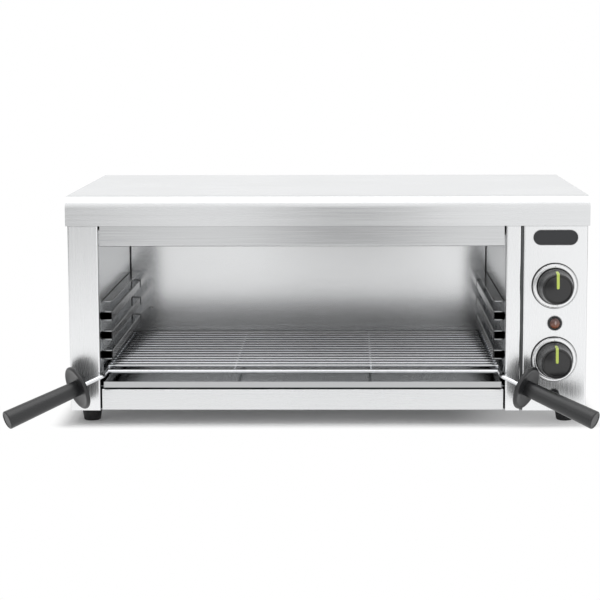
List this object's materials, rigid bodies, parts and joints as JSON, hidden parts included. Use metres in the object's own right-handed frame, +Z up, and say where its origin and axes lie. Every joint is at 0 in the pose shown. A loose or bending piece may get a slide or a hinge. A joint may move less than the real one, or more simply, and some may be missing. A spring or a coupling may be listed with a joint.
{
  "type": "cheese melter",
  "caption": "Table-top steel cheese melter with an open grilling cavity, a sliding wire grid on two racks, a crumb tray and knobs on the right.",
  "frame": {"origin": "middle of the whole shape on the surface that the feet stand on; x = 0 is also the middle of the cavity", "axes": "+X to the right seen from the front, +Y towards the rear panel, +Z up"},
  "size_m": [0.677, 0.4224, 0.2705],
  "materials": {
    "outer_steel": "brushed along each panel",
    "inner_steel": "mill finish",
    "chrome_wire": "polished",
    "bezel_metal": "satin",
    "handle_plastic": "moulded, low sheen",
    "knob_plastic": "moulded, low sheen",
    "lime_plastic": "moulded insert",
    "element_sheath": "heat darkened",
    "steatite": "unglazed",
    "black_moulding": "moulded",
    "amber_lens": "clear, faceted inside",
    "lamp_moulding": "moulded",
    "badge_metal": "satin",
    "shaft_brass": "turned",
    "sensor_copper": "drawn",
    "loom_sleeve": "braided glass sleeve",
    "foot_rubber": "moulded",
    "screw_zinc": "zinc plated"
  },
  "bodies": {
    "cabinet": {"top_cover": "outer_steel", "left_side_panel": "outer_steel", "right_side_panel": "outer_steel", "rear_panel": "outer_steel", "header_panel": "outer_steel", "lower_front_panel": "outer_steel", "right_front_post": "outer_steel", "control_panel": "outer_steel", "base_plate": "inner_steel", "cavity_left_wall": "inner_steel", "cavity_right_wall": "inner_steel", "cavity_back_wall": "inner_steel", "cavity_floor": "inner_steel", "heat_reflector": "inner_steel", "left_rack": "inner_steel", "right_rack": "inner_steel", "element_hangers": "inner_steel", "cavity_rivets": "inner_steel", "upper_bezel": "bezel_metal", "lower_bezel": "bezel_metal", "heating_element_front": "element_sheath", "heating_element_rear": "element_sheath", "element_bushes": "steatite", "terminal_block": "steatite", "upper_regulator": "black_moulding", "lower_regulator": "black_moulding", "pilot_bezel": "black_moulding", "thermal_cutout": "black_moulding", "cable_gland": "black_moulding", "pilot_lens": "amber_lens", "pilot_lamp_body": "lamp_moulding", "badge_plate": "badge_metal", "cutout_sensor": "sensor_copper", "wiring_loom": "loom_sleeve", "rubber_feet": "foot_rubber", "foot_screws": "screw_zinc", "base_screws": "screw_zinc", "rear_panel_screws": "screw_zinc", "cover_screws": "screw_zinc"},
    "grid": {"grill_grid": "chrome_wire", "left_hand_guard": "handle_plastic", "right_hand_guard": "handle_plastic", "left_grip": "handle_plastic", "right_grip": "handle_plastic"},
    "tray": {"crumb_tray": "inner_steel"},
    "upper_control": {"upper_knob": "knob_plastic", "upper_pointer": "lime_plastic", "upper_shaft": "shaft_brass"},
    "lower_control": {"lower_knob": "knob_plastic", "lower_pointer": "lime_plastic", "lower_shaft": "shaft_brass"},
    "button": {"reset_button": "knob_plastic"}
  },
  "joints": [
    {"name": "grid_slide", "type": "slide", "parent": "cabinet", "child": "grid", "axis": [0, -1, 0], "range_m": [0, 0.25]},
    {"name": "tray_slide", "type": "slide", "parent": "cabinet", "child": "tray", "axis": [0, -1, 0], "range_m": [0, 0.25]},
    {"name": "upper_knob_turn", "type": "hinge", "parent": "cabinet", "child": "upper_control", "pos_m": [0.29525, -0.12155, 0.1644], "axis": [0, 1, 0], "range_deg": [0, 290]},
    {"name": "lower_knob_turn", "type": "hinge", "parent": "cabinet", "child": "lower_control", "pos_m": [0.29525, -0.12155, 0.0776], "axis": [0, 1, 0], "range_deg": [0, 290]},
    {"name": "reset_press", "type": "slide", "parent": "cabinet", "child": "button", "axis": [0, 1, 0], "range_m": [0, 0.002], "stiffness_N_per_m": 600, "springref_m": -0.001}
  ]
}
